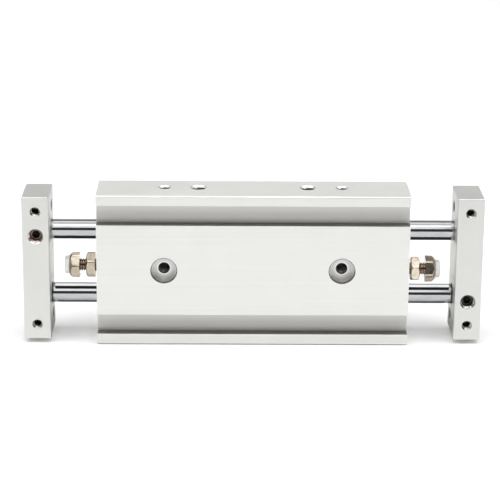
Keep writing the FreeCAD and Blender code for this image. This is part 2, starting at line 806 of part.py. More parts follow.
def write_parts():
    os.makedirs("parts", exist_ok=True)
    for label, item in nodes.items():
        item.Shape.exportStep(f"parts/{label}.step")


def main():
    fill_sheet()
    build_housing()
    build_covers()
    build_rods()
    build_plates()
    build_stops()
    doc.recompute()
    check_model()
    write_parts()
    stop_reach = size("stop_head_standoff") + size("stop_head_length") + size("bumper_proud")
    print(f"{len(nodes)} nodes, travel to each bumper {size('plate_gap') - stop_reach:.2f} mm")


main()
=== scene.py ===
import json
import math

import bmesh
import bpy
from mathutils import Matrix, Vector

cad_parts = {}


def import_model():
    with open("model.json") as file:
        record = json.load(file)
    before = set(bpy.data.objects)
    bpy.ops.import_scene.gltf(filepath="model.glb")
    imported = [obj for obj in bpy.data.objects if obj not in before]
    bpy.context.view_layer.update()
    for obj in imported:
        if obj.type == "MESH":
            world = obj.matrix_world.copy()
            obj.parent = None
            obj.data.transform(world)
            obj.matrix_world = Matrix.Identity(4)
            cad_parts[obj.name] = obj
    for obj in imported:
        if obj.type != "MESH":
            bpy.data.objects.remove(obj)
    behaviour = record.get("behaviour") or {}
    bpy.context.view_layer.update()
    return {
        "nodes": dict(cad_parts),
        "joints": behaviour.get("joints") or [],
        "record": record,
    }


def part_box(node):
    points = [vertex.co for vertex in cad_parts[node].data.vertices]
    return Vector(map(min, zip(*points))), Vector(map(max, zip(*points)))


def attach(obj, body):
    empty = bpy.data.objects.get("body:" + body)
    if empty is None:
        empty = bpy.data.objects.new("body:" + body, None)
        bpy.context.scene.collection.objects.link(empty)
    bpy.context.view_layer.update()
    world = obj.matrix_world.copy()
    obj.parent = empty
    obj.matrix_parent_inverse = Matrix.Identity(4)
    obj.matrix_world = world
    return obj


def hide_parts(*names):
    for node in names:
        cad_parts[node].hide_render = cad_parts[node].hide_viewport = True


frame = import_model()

# Double rod pneumatic cylinder: finishes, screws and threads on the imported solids.
# Lengths are in metres in the frame of the solids: X along the rods, Y front to back, Z up.

MM = 0.001
PER_MM = 1 / MM

# the two ends and which way is out of them
ENDS = {"left": -1, "right": 1}

# hexagons of the stops
HEX_ACROSS = 7.0 * MM
HEAD_LENGTH = 3.0 * MM
HEAD_FACE_INSET = 0.4 * MM
NUT_FACE_INSET = 0.25 * MM
HEAD_CHAMFER_DEG = 45
NUT_CHAMFER_DEG = 30
HEX_TURN_DEG = {"left": {"head": 5.5, "nut": 27.5}, "right": {"head": 12.5, "nut": 39.5}}
# the left nut lies with its flat face to the housing
NUT_INNER_CHAMFER = {"left": False, "right": True}
NUT_BORE = 2.0 * MM
NUT_MOUTH = 0.2 * MM

# bumpers: stem, room round it in the bolt head, broken edge at the back and round edge at the front
STEM_RADIUS = 1.8 * MM
PAD_CLEARANCE = 0.02 * MM
PAD_BACK_EDGE = 0.05 * MM
PAD_FRONT_EDGE = 0.35 * MM

# threads: pitches, the stop bolts' thread, and the ridges in holes as a share of the pitch
M3_PITCH = 0.5 * MM
M4_PITCH = 0.7 * MM
M5_PITCH = 0.8 * MM
STOP_CREST = 1.95 * MM
STOP_THREAD_DEPTH = 0.38 * MM
STOP_LEAD_IN = 1.0 * MM
HOLE_RIDGE = 0.25
# share of such a ridge that is left right at the mouth
MOUTH_SHARE = 0.3
# half of the flat on a crest, as a share of the pitch
HALF_CREST = 1 / 16
FLANK_SLOPE = math.tan(math.radians(60))

# sleeves that carry the threads of holes: gap to the wall and thickness at the root
SLEEVE_GAP = 0.004 * MM
SLEEVE_SKIN = 0.012 * MM

# how finely round pieces are divided
STEPS_PER_PITCH = 20
THREAD_SIDES = 48
FINE_SIDES = 96
HEX_SIDES = 144
CHAMFER_STEPS = 10
PAD_EDGE_STEPS = 8
SHARP_EDGE_DEG = 32

# how far below a face the thread of each kind of hole starts, just under the chamfer of its mouth
PORT_MOUTH = 0.47 * MM
SIDE_TAP_MOUTH = 0.37 * MM
PLATE_TAP_MOUTH = 0.22 * MM
FRONT_TAP_MOUTH = 0.32 * MM
MOUNT_THREAD_START = 0.8 * MM
# how far below a face the flare on that chamfer ends
FLARE_END = 0.02 * MM
# lengths of those threads; the two of a mounting hole end just short of each other in the middle
PORT_THREAD = 4.8 * MM
SIDE_TAP_THREAD = 4.4 * MM
FRONT_TAP_THREAD = 5.4 * MM
MOUNT_THREAD = 5.19 * MM

# counterbores of the mounting holes, in millimetres
COUNTERBORE_DEPTH = 3.0
COUNTERBORE_RADIUS = 3.8
MOUNT_HOLE_RADIUS = 1.7
# their painted shade and light: how far the walls' painted shade reaches over the chamfer of the mouth, and
# into the floor, where the painted highlight round the hole starts to fade and ends, and where the wall
# turns from painted shade to a painted light band
COUNTERBORE_MOUTH = 0.25
COUNTERBORE_CORNER = 0.06
HIGHLIGHT_EDGE = (0.15, 0.7)
LIGHT_BAND_DEPTHS = (0.8, 1.5)

# waves of the marks that cutting tools left, in radians per millimetre
CUTTER_WAVES = 13.0
LATHE_WAVES = 38.0

# set screws that clamp the rods, and the room round them in their holes
SET_SOCKET = 2.0 * MM
SET_SOCKET_DEPTH = 1.5 * MM
SET_SOCKET_LIP = 0.1 * MM
SET_POINT_RADIUS = 1.1 * MM
SET_POINT_LENGTH = 0.7 * MM
SET_THREAD_DEPTH = 0.25 * MM
SET_LEAD_IN = 0.5 * MM
SET_FACE_CHAMFER = 0.4 * MM
SET_HOLE_ROOM = 0.05 * MM

# switch grooves of the housing; their painted shade comes in between the edge and the fade
GROOVE_DEPTH = 3.0 * MM
GROOVE_WIDTH = 6.0 * MM
GROOVE_EDGE = 0.05 * MM
GROOVE_FADE = 0.3 * MM
FLANGE_HEIGHT = 3.1 * MM

# most values of a noise lie between these
NOISE_LOW = 0.3
NOISE_HIGH = 0.7

# floor: half its width, and how far below the part it is drawn
FLOOR_HALF = 3.0
FLOOR_DROP = 0.35 * MM

# stretch of the rods that shows between the housing and a plate
ROD_SHOWS = (47.0 * MM, 59.7 * MM)
# sheets that only the rods and the stop mirror, as painted reflections in place of the floor and of each
# other, dark for painted shade and bright for painted highlights: name, front, back and height in
# millimetres, and level
PAINTED_ROD_REFLECTIONS = (
    ("under_upper_rod", -2.4, 0.6, 29.7, 0.05),
    ("over_stop", -2.4, 0.6, 29.6, 1.1),
    ("under_stop", -2.6, 7.0, 17.0, 0.6),
    ("behind_lower_rod", 1.5, 7.0, 16.9, 0.5),
    ("over_lower_rod", -0.5, 1.5, 16.9, 1.9),
    ("over_lower_rod_line", -2.8, -0.5, 16.9, 0.03),
    ("under_lower_rod", -2.0, 20.0, 0.5, 0.2),
)

# camera that matches the photo, in its 500 pixel frame
IMAGE_PIXELS = 500
FOCAL_PIXELS = 1981.56
SENSOR_WIDTH = 36.0
CAMERA_AT = Vector((-8.92, -570.6, 200.61)) * MM
CAMERA_PITCH = 0.2956
CAMERA_YAW = 0.0142
CAMERA_ROLL = 0.0082


class Finish:
    """A node material, with short calls for the nodes that the finishes share.

    Textures are laid out in millimetres of the piece's own frame."""

    def __init__(self, name):
        self.material = bpy.data.materials.new(name)
        self.material.use_nodes = True
        self.tree = self.material.node_tree
        self.shader = self.tree.nodes["Principled BSDF"]
        coordinates = self.node("ShaderNodeTexCoord")
        self.place = coordinates.outputs["Object"]
        self.normal = coordinates.outputs["Normal"]

    def node(self, kind):
        return self.tree.nodes.new(kind)

    def put(self, socket, value):
        """Link an output to an input, or set the input to a plain value."""
        if isinstance(value, bpy.types.NodeSocket):
            self.tree.links.new(value, socket)
        else:
            socket.default_value = value

    def set(self, **values):
        """Set inputs of the shader by name, with _ for a space."""
        for word, value in values.items():
            self.put(self.shader.inputs[word.replace("_", " ")], value)

    def math(self, operation, first, second=0.0):
        item = self.node("ShaderNodeMath")
        item.operation = operation
        self.put(item.inputs[0], first)
        self.put(item.inputs[1], second)
        return item.outputs[0]

    def axes(self, vector):
        """The three parts of a vector."""
        item = self.node("ShaderNodeSeparateXYZ")
        self.put(item.inputs[0], vector)
        return item.outputs

    def off_middle(self, axis):
        """Distance in metres from the middle plane across an axis."""
        return self.math("ABSOLUTE", self.axes(self.place)[axis])

    def faces(self, axis, least):
        """1 where the surface faces along an axis, either way, by more than the given share."""
        return self.math("GREATER_THAN", self.math("ABSOLUTE", self.axes(self.normal)[axis]), least)

    def length(self, first, second):
        """Length in millimetres of two parts at right angles, given in metres."""
        squares = self.math("ADD", self.math("POWER", first, 2.0), self.math("POWER", second, 2.0))
        return self.math("MULTIPLY", self.math("SQRT", squares), PER_MM)

    def axis_distance(self, middle):
        """Distance in millimetres from a line along X through the given Y and Z."""
        place = self.axes(self.place)
        across = self.math("SUBTRACT", place["Y"], middle[0])
        above = self.math("SUBTRACT", place["Z"], middle[1])
        return self.length(across, above)

    def hole_distance(self, across, height):
        """Distance in millimetres from the nearer of two lines along Y, both at a height.

        They lie at plus and minus a place across."""
        aside = self.math("SUBTRACT", self.off_middle("X"), across)
        above = self.math("SUBTRACT", self.axes(self.place)["Z"], height)
        return self.length(aside, above)

    def noise(self, per_mm, detail=2.0, roughness=0.5):
        """Noise that changes so often in a millimetre, by one number or by one for each axis."""
        factors = per_mm if isinstance(per_mm, tuple) else (per_mm, per_mm, per_mm)
        stretched = self.node("ShaderNodeMapping")
        stretched.inputs["Scale"].default_value = [PER_MM * factor for factor in factors]
        self.put(stretched.inputs["Vector"], self.place)
        item = self.node("ShaderNodeTexNoise")
        self.put(item.inputs["Vector"], stretched.outputs[0])
        item.inputs["Scale"].default_value = 1.0
        item.inputs["Detail"].default_value = detail
        item.inputs["Roughness"].default_value = roughness
        return item.outputs["Fac"]

    def between(self, factor, low, high, start=0.0, end=1.0):
        """Map the span from start to end onto the span from low to high."""
        item = self.node("ShaderNodeMapRange")
        self.put(item.inputs["Value"], factor)
        self.put(item.inputs["From Min"], start)
        self.put(item.inputs["From Max"], end)
        self.put(item.inputs["To Min"], low)
        self.put(item.inputs["To Max"], high)
        return item.outputs["Result"]

    def shades(self, factor, stops):
        """Colours by a factor, each stop a position and a colour."""
        item = self.node("ShaderNodeValToRGB")
        ramp = item.color_ramp
        while len(ramp.elements) < len(stops):
            ramp.elements.new(0.5)
        for element, (position, colour) in zip(ramp.elements, stops):
            element.position = position
            element.color = (*colour, 1.0)
        self.put(item.inputs["Fac"], factor)
        return item.outputs["Color"]

    def mottled(self, noise, dark, light):
        """A colour that wanders between two shades with a noise."""
        return self.shades(noise, ((NOISE_LOW, dark), (NOISE_HIGH, light)))

    def mixed(self, factor, first, second):
        item = self.node("ShaderNodeMix")
        item.data_type = "RGBA"
        self.put(item.inputs[0], factor)
        self.put(item.inputs[6], first)
        self.put(item.inputs[7], second)
        return item.outputs[2]

    def bump(self, height, depth, below=None):
        item = self.node("ShaderNodeBump")
        item.inputs["Distance"].default_value = depth
        self.put(item.inputs["Height"], height)
        if below is not None:
            self.put(item.inputs["Normal"], below)
        return item.outputs["Normal"]

    def groove(self, front, bottom, rise):
        """Where the two grooves are, 0 to 1, and the height above their bottom as a share of their width.

        The lower groove's bottom is at the given height and the upper one's a rise above it."""
        place = self.axes(self.place)
        up = self.math("FLOORED_MODULO", self.math("SUBTRACT", place["Z"], bottom - GROOVE_EDGE), rise)
        inside = self.math("LESS_THAN", up, GROOVE_WIDTH + 2 * GROOVE_EDGE)
        behind = self.between(place["Y"], 0.0, 1.0, front + GROOVE_EDGE, front + GROOVE_FADE)
        before = self.math("LESS_THAN", place["Y"], front + GROOVE_DEPTH + GROOVE_EDGE)
        mask = self.math("MULTIPLY", self.math("MULTIPLY", behind, before), inside)
        return mask, self.math("DIVIDE", up, GROOVE_WIDTH)


# Finishes

def tinted(colour, factor):
    return [factor * part for part in colour]


def anodised_aluminium(name, bright, dull, narrow, zones):
    """Clear anodised aluminium: faint lines along the extrusion, clouding and a fine satin grain.

    The narrow faces have the colour of the wide front and back times the given factor. Each zone gives,
    for this finish, a mask and the colour and roughness that show there instead."""
    finish = Finish(name)
    clouds = finish.noise(0.07, detail=3.0)
    lines = finish.noise((0.015, 2.4, 2.4), detail=3.0, roughness=0.6)
    grain = finish.noise(9.0)
    tone = finish.math("ADD", finish.math("MULTIPLY", clouds, 0.55), finish.math("MULTIPLY", lines, 0.45))
    wide_faces = finish.mottled(tone, dull, bright)
    narrow_faces = finish.mottled(tone, tinted(dull, narrow), tinted(bright, narrow))
    colour = finish.mixed(finish.faces("Y", 0.5), narrow_faces, wide_faces)
    roughness = finish.between(tone, 0.46, 0.54, NOISE_LOW, NOISE_HIGH)
    for zone in zones:
        mask, zone_colour, zone_roughness = zone(finish)
        colour = finish.mixed(mask, colour, zone_colour)
        roughness = finish.between(mask, roughness, zone_roughness)
    # milled end faces show tighter, straighter marks than the extruded sides
    milled = finish.noise((0.3, 0.05, 7.0), detail=1.0)
    marks = finish.between(finish.faces("X", 0.95), lines, milled)
    texture = finish.bump(marks, 0.004 * MM)
    finish.set(Base_Color=colour, Metallic=1.0, Roughness=roughness,
               Normal=finish.bump(grain, 0.0025 * MM, texture))
    return finish.material


def groove_shade_zone(front, bottom, rise):
    """The switch grooves in painted shade: greyer than the outer faces and darkest on their ledges."""
    # painted shade from the ledge up the wall to the top of the groove
    ledge = (0.31, 0.305, 0.29)
    wall = (0.55, 0.545, 0.53)
    top = (0.70, 0.70, 0.685)

    def zone(finish):
        mask, height = finish.groove(front, bottom, rise)
        shade = finish.shades(height, ((0.02, ledge), (0.06, wall), (0.5, wall), (1.0, top)))
        return mask, shade, 0.5

    return zone


def counterbore_shade_zone(across, height, face):
    """The counterbores: cutter rings on their floors, a painted highlight round the hole, and walls in
    painted shade that turn to a painted light band near the floor.
    """
    middle = (COUNTERBORE_RADIUS + MOUNT_HOLE_RADIUS) / 2
    floor_reach = (COUNTERBORE_RADIUS - MOUNT_HOLE_RADIUS) / 2 - COUNTERBORE_CORNER

    def zone(finish):
        radius = finish.hole_distance(across, height)
        depth = finish.math("SUBTRACT", face, finish.off_middle("Y"))
        below_face = finish.math("GREATER_THAN", depth, 0.02 * MM)
        in_mouth = finish.math("LESS_THAN", radius, COUNTERBORE_RADIUS + COUNTERBORE_MOUTH)
        waves = finish.math("SINE", finish.math("MULTIPLY", radius, CUTTER_WAVES))
        ripple = finish.between(waves, 0.0, 1.0, -1.0, 1.0)
        rings = finish.shades(ripple, ((0.0, (0.50, 0.496, 0.486)), (1.0, (0.74, 0.735, 0.72))))
        # painted highlight: a bright ring round the hole in the floor
        edge_start, edge_end = [MOUNT_HOLE_RADIUS + width for width in HIGHLIGHT_EDGE]
        painted_highlight = finish.between(radius, 1.0, 0.0, edge_start, edge_end)
        rings = finish.mixed(painted_highlight, rings, (0.86, 0.855, 0.84, 1.0))
        smears = finish.noise((2.0, 0.5, 2.0), detail=3.0)
        # the walls and the chamfer of the mouth in painted shade, with a painted light band on the outer
        # wall near the floor
        dark = finish.mottled(smears, (0.07, 0.068, 0.066), (0.15, 0.147, 0.143))
        unshaded = finish.mottled(smears, (0.84, 0.835, 0.82), (0.94, 0.935, 0.92))
        outer = finish.math("GREATER_THAN", radius, middle)
        light_band_start, light_band_end = [way * MM for way in LIGHT_BAND_DEPTHS]
        light_band = finish.math("MULTIPLY", finish.between(depth, 0.0, 1.0, light_band_start, light_band_end), outer)
        from_middle = finish.math("ABSOLUTE", finish.math("SUBTRACT", radius, middle))
        wall = finish.math("GREATER_THAN", from_middle, floor_reach)
        shade = finish.mixed(wall, rings, finish.mixed(light_band, dark, unshaded))
        return finish.math("MULTIPLY", below_face, in_mouth), shade, 0.42

    return zone


def rod_shade_zone(rod, inner, share=0.92, full=2.55, gone=3.1, drawn_out=1.4):
    """Painted shade round a rod on the inner faces of the plates.

    It has its share of the colour up to the full radius and is gone at a wider one, both drawn out by a
    noise, all in millimetres."""
    def zone(finish):
        spread = finish.noise(0.9, detail=3.0)
        further = finish.math("MULTIPLY", spread, drawn_out)
        reach = finish.math("SUBTRACT", finish.axis_distance(rod), further)
        # painted shade where the rod goes into the plate
        shaded = finish.between(reach, share, 0.0, full, gone)
        inside = finish.math("LESS_THAN", finish.off_middle("X"), inner + 0.35 * MM)
        shade = finish.mottled(spread, (0.05, 0.042, 0.038), (0.12, 0.11, 0.10))
        return finish.math("MULTIPLY", shaded, inside), shade, 0.4

    return zone


def cut_thread(name, light, dark, rim, rim_depth=0.0, unshaded=0.9 * MM, darkening_fade=1.5 * MM):
    """Metal cut by a tap: torn marks along the ridges, and a painted shade that comes in below the unshaded
    depth.

    The mouth has the shade of the rim, down to the rim's depth."""
    finish = Finish(name)
    tears = finish.noise(3.0, detail=4.0, roughness=0.6)
    along = finish.axes(finish.place)["X"]
    ridges = finish.mottled(tears, dark, light)
    # painted shade, near black, deep down in the hole
    darkening = finish.mottled(tears, (0.012, 0.012, 0.011), (0.03, 0.029, 0.028))
    ridges = finish.mixed(finish.between(along, 1.0, 0.0, -unshaded - darkening_fade, -unshaded), ridges, darkening)
    mouth = finish.mottled(tears, tinted(rim, 0.8), rim)
    outside = finish.math("GREATER_THAN", along, -rim_depth)
    finish.set(Base_Color=finish.mixed(outside, ridges, mouth), Metallic=1.0,
               Roughness=finish.between(tears, 0.14, 0.3), Normal=finish.bump(tears, 0.004 * MM))
    return finish.material


def hard_chrome(name, plate_inner, share, ragged=0.5 * MM, fade=0.35 * MM):
    """Ground and polished chrome: grinding marks run round the rod.

    Where it meets a plate it takes a share of a painted shade, which fades out with a ragged edge."""
    finish = Finish(name)
    rings = finish.noise((14.0, 0.25, 0.25), detail=3.0, roughness=0.6)
    haze = finish.noise((0.25, 0.6, 0.6))
    metal = finish.mottled(haze, (0.42, 0.425, 0.44), (0.48, 0.485, 0.495))
    along = finish.math("ADD", finish.off_middle("X"), finish.math("MULTIPLY", haze, ragged))
    darkening = finish.between(along, 0.0, share, plate_inner - fade, plate_inner)
    rod_end_shade = finish.mottled(haze, (0.03, 0.022, 0.02), (0.07, 0.06, 0.055))
    finish.set(Base_Color=finish.mixed(darkening, metal, rod_end_shade), Metallic=1.0,
               Roughness=finish.between(haze, 0.05, 0.11), Normal=finish.bump(rings, 0.0006 * MM))
    return finish.material


def plated_steel(name, tone, darkening_share=0.85):
    """Yellowish nickel on steel, darker by its tone for a painted shade on one copy, darker and browner
    down in the stop bolts' thread.
    """
    finish = Finish(name)
    stains = finish.noise(0.7, detail=4.0, roughness=0.6)
    scratches = finish.noise((6.0, 0.8, 0.8), detail=3.0)
    plating = ((0.3, (0.50, 0.42, 0.32)), (0.52, (0.66, 0.58, 0.47)), (0.75, (0.74, 0.68, 0.58)))
    plate = finish.shades(stains, [(position, tinted(colour, tone)) for position, colour in plating])
    # darker and browner towards the roots of the thread
    radius = finish.axis_distance((0.0, 0.0))
    crest = STOP_CREST * PER_MM
    root = crest - STOP_THREAD_DEPTH * PER_MM
    depth = finish.between(radius, 1.0, 0.0, root, crest)
    shank = finish.math("LESS_THAN", radius, crest + 0.05)
    darkening = finish.math("MULTIPLY", finish.math("MULTIPLY", depth, shank), darkening_share)
    finish.set(Base_Color=finish.mixed(darkening, plate, (0.16, 0.09, 0.05, 1.0)), Metallic=1.0,
               Roughness=finish.between(stains, 0.13, 0.28), Normal=finish.bump(scratches, 0.002 * MM))
    return finish.material


def black_oxide(name):
    """Oiled black steel of the socket screws."""
    finish = Finish(name)
    patches = finish.noise(1.1, detail=4.0)
    grain = finish.noise(12.0)
    colour = finish.mottled(patches, (0.025, 0.023, 0.022), (0.075, 0.065, 0.06))
    finish.set(Base_Color=colour, Metallic=0.8, Roughness=finish.between(patches, 0.32, 0.5),
               Normal=finish.bump(grain, 0.003 * MM))
    return finish.material


def set_screw_steel(name, light, dark):
    """Oxidised set screw, with its socket painted black as shade."""
    finish = Finish(name)
    patches = finish.noise(1.3, detail=4.0)
    radius = finish.axis_distance((0.0, 0.0))
    oxide = finish.mottled(patches, dark, light)
    # painted shade: black in the hexagon socket
    black = finish.mottled(patches, (0.010, 0.009, 0.008), (0.028, 0.025, 0.023))
    in_socket = finish.math("LESS_THAN", radius, SET_SOCKET / math.sqrt(3) * PER_MM)
    finish.set(Base_Color=finish.mixed(in_socket, oxide, black), Metallic=1.0,
               Roughness=finish.between(patches, 0.24, 0.42), Normal=finish.bump(patches, 0.004 * MM))
    return finish.material


def urethane(name, light, dark, weight):
    """Cast urethane: milky, slightly see-through, with faint clouding."""
    finish = Finish(name)
    clouds = finish.noise(0.5, detail=3.0)
    pores = finish.noise(7.0)
    finish.set(Base_Color=finish.mottled(clouds, dark, light), Roughness=finish.between(pores, 0.3, 0.45),
               Normal=finish.bump(pores, 0.003 * MM))
    finish.set(Subsurface_Weight=weight, Subsurface_Scale=1.5 * MM, Subsurface_Radius=(1.0, 0.95, 0.8))
    return finish.material


def rubber(name):
    """Black rubber of the seals, with a faint grey bloom."""
    finish = Finish(name)
    bloom = finish.noise(0.6, detail=4.0)
    grain = finish.noise(10.0)
    colour = finish.shades(bloom, ((0.3, (0.012, 0.012, 0.013)), (0.75, (0.035, 0.035, 0.036))))
    finish.set(Base_Color=colour, Roughness=finish.between(bloom, 0.5, 0.7),
               Normal=finish.bump(grain, 0.004 * MM))
    return finish.material


def turned_metal(name, middle, light, dark, roughness):
    """Metal turned on a lathe: fine rings about the axis of its bore."""
    finish = Finish(name)
    rings = finish.math("SINE", finish.math("MULTIPLY", finish.axis_distance(middle), LATHE_WAVES))
    stains = finish.noise(0.4, detail=3.0)
    finish.set(Base_Color=finish.mottled(stains, dark, light), Metallic=1.0,
               Roughness=finish.between(stains, roughness - 0.06, roughness + 0.06),
               Normal=finish.bump(rings, 0.0015 * MM))
    return finish.material


def spring_steel(name):
    """Dark spring steel of the clips and retaining rings."""
    finish = Finish(name)
    stains = finish.noise(0.9, detail=4.0)
    grain = finish.noise(8.0)
    colour = finish.mottled(stains, (0.06, 0.055, 0.05), (0.16, 0.15, 0.14))
    finish.set(Base_Color=colour, Metallic=1.0, Roughness=finish.between(stains, 0.35, 0.5),
               Normal=finish.bump(grain, 0.003 * MM))
    return finish.material


def magnet_compound(name):
    """Flecked dark compound of the ring magnets."""
    finish = Finish(name)
    flecks = finish.noise(3.0, detail=5.0, roughness=0.7)
    colour = finish.shades(flecks, ((0.35, (0.03, 0.028, 0.027)), (0.7, (0.09, 0.08, 0.075))))
    finish.set(Base_Color=colour, Roughness=finish.between(flecks, 0.45, 0.65),
               Normal=finish.bump(flecks, 0.006 * MM))
    return finish.material


# Meshes made of rings round the local X axis

def ring_mesh(name, rings, sides, looped):
    """Join rings, each (place along X, radius or radius by angle), into a closed skin."""
    shape = bmesh.new()
    loops = []
    for along, radius in rings:
        loop = []
        for step in range(sides):
            angle = 2 * math.pi * step / sides
            reach = radius(angle) if callable(radius) else radius
            loop.append(shape.verts.new((along, reach * math.cos(angle), reach * math.sin(angle))))
        loops.append(loop)
    pairs = list(zip(loops, loops[1:]))
    if looped:
        pairs.append((loops[-1], loops[0]))
    else:
        for loop, (along, radius) in ((loops[0], rings[0]), (loops[-1], rings[-1])):
            centre = shape.verts.new((along, 0.0, 0.0))
            for step in range(sides):
                shape.faces.new((centre, loop[step], loop[(step + 1) % sides]))
    for near, far in pairs:
        for step in range(sides):
            after = (step + 1) % sides
            shape.faces.new((near[step], far[step], far[after], near[after]))
    bmesh.ops.recalc_face_normals(shape, faces=shape.faces)
    mesh = bpy.data.meshes.new(name)
    shape.to_mesh(mesh)
    shape.free()
    mesh.shade_smooth()
    mesh.set_sharp_from_angle(angle=math.radians(SHARP_EDGE_DEG))
    return mesh


def hexagon(across, turn_deg, sharpness=60.0):
    """Radius by angle of a hexagon with lightly rounded corners; a corner lies at the turn."""
    turn = math.radians(turn_deg)

    def radius(angle):
        total = 0.0
        for flat in range(6):
            facing_flat = math.cos(angle - turn - math.radians(30 + 60 * flat))
            if facing_flat > 0:
                total += facing_flat ** sharpness
        return across / 2 / total ** (1 / sharpness)

    return radius


def narrowed(radius, limit, sharpness=40.0):
    """A radius by angle held under a limit, with a soft edge where the two meet."""
    def narrow(angle):
        reach = radius(angle)
        return (reach ** -sharpness + limit ** -sharpness) ** (-1 / sharpness)

    return narrow


def hex_rings(start, end, turn_deg, face_inset, chamfer_deg, both_ends):
    """Rings of a hexagon bar whose end corners are turned off to a cone."""
    outline = hexagon(HEX_ACROSS, turn_deg)
    corner = HEX_ACROSS / math.sqrt(3)
    face = HEX_ACROSS / 2 - face_inset
    slope = math.tan(math.radians(chamfer_deg))
    chamfer = (corner - face) * slope
    ramp = [chamfer * step / CHAMFER_STEPS for step in range(CHAMFER_STEPS + 1)]
    rings = [(end - way, narrowed(outline, face + way / slope)) for way in reversed(ramp)]
    if both_ends:
        return [(start + way, narrowed(outline, face + way / slope)) for way in ramp] + rings
    return [(start, outline)] + rings


def ridge(turns, height):
    """Height, 0 to 1, of a 60 degree thread with flats at crest and root, by the number of turns along it.

    The height of its ridge is given as a share of the pitch."""
    flank = height / FLANK_SLOPE
    return min(1.0, max(0.0, (HALF_CREST + flank - abs(turns % 1.0 - 0.5)) / flank))


def thread_rings(start, end, crest, depth, pitch, lead_in):
    """Rings of a right-hand V thread; the crest falls away over the lead-in at the start."""
    steps = round((end - start) / pitch * STEPS_PER_PITCH)
    rings = []
    for step in range(steps + 1):
        along = start + (end - start) * step / steps
        limit = crest - depth + min(1.0, (along - start) / lead_in) * depth

        def radius(angle, along=along, limit=limit):
            turns = along / pitch - angle / (2 * math.pi)
            return min(limit, crest - depth + depth * ridge(turns, depth / pitch))

        rings.append((along, radius))
    return rings


def facing(point, direction):
    """Matrix that puts local X along a direction, with the origin at a point."""
    turn = Vector(direction).to_track_quat("X", "Z")
    return Matrix.Translation(point) @ turn.to_matrix().to_4x4()


def piece(name, rings, sides, at, finish, body, looped=False):
    """A new piece made of rings, which moves with a body and takes its finish from a slot."""
    item = bpy.data.objects.new(name, ring_mesh(name, rings, sides, looped))
    bpy.context.scene.collection.objects.link(item)
    item.data.materials.append(finish)
    item.matrix_world = at
    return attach(item, body)


# Screws and bumpers

def named(rows, name):
    """The row that has a name."""
    return next(row for row in rows if row["name"] == name)


def outward(end, part):
    """Near and far place of an end's node along X, counted outwards from the middle of the object."""
    low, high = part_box(f"{end}_{part}")
    return (low.x, high.x) if ENDS[end] > 0 else (-high.x, -low.x)


def stop_bolt(end, at, finish):
    """Hex bolt with a real thread, and a pocket in its head for the stem of the bumper."""
    tip, face = outward(end, "stop_bolt")
    stem = outward(end, "bumper")[0]
    head_back = face - HEAD_LENGTH
    pocket = STEM_RADIUS + PAD_CLEARANCE
    rings = thread_rings(tip, head_back, STOP_CREST, STOP_THREAD_DEPTH, M4_PITCH, STOP_LEAD_IN)
    rings += hex_rings(head_back, face, HEX_TURN_DEG[end]["head"], HEAD_FACE_INSET, HEAD_CHAMFER_DEG, False)
    rings += [(face, pocket), (stem - PAD_CLEARANCE, pocket)]
    bolt = piece(f"{end}_stop_bolt_threaded", rings, HEX_SIDES, at, finish, f"{end}_stop_screw")
    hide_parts(f"{end}_stop_bolt")


def stop_nut(end, at, finish):
    """Lock nut with its corners turned off and a chamfered bore."""
    near, far = outward(end, "stop_nut")
    mouth = NUT_BORE + NUT_MOUTH
    rings = hex_rings(near, far, HEX_TURN_DEG[end]["nut"], NUT_FACE_INSET, NUT_CHAMFER_DEG,
                      NUT_INNER_CHAMFER[end])
    rings += [(far, mouth), (far - NUT_MOUTH, NUT_BORE), (near + NUT_MOUTH, NUT_BORE), (near, mouth)]
    nut = piece(f"{end}_stop_nut_rounded", rings, HEX_SIDES, at, finish, f"{end}_stop_screw",
                looped=True)
    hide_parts(f"{end}_stop_nut")


def bumper_pad(end, at, finish):
    """Bumper: a stem in the bolt head and a pad with a round front edge."""
    low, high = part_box(f"{end}_bumper")
    disc = (high.y - low.y) / 2
    stem, front = outward(end, "bumper")
    seat = outward(end, "stop_bolt")[1] + PAD_CLEARANCE
    rings = [(stem, STEM_RADIUS), (seat, STEM_RADIUS)]
    rings += [(seat, disc - PAD_BACK_EDGE), (seat + PAD_BACK_EDGE, disc)]
    for step in range(PAD_EDGE_STEPS + 1):
        angle = math.pi / 2 * step / PAD_EDGE_STEPS
        along = front - PAD_FRONT_EDGE + PAD_FRONT_EDGE * math.sin(angle)
        rings.append((along, disc - PAD_FRONT_EDGE + PAD_FRONT_EDGE * math.cos(angle)))
    bumper = piece(f"{end}_bumper_pad", rings, FINE_SIDES, at, finish, f"{end}_stop_travel")
    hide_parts(f"{end}_bumper")


def end_stop(end, finish, pad_finish):
    """The bolt, lock nut and bumper of one end, on the axis of its turning joint."""
    axis_y, axis_z = named(frame["joints"], f"{end}_stop_turn")["pos_m"][1:]
    at = facing((0.0, axis_y, axis_z), (ENDS[end], 0, 0))
    stop_bolt(end, at, finish)
    stop_nut(end, at, finish)
    bumper_pad(end, at, pad_finish)


def faced_off(reach, along, face, radius):
    """Chamfer the last of a set screw's thread down to its root at the socket face."""
    share = min(1.0, (face - along) / SET_FACE_CHAMFER)
    limit = radius - SET_THREAD_DEPTH + share * SET_THREAD_DEPTH
    if callable(reach):
        return lambda angle: min(reach(angle), limit)
    return min(reach, limit)


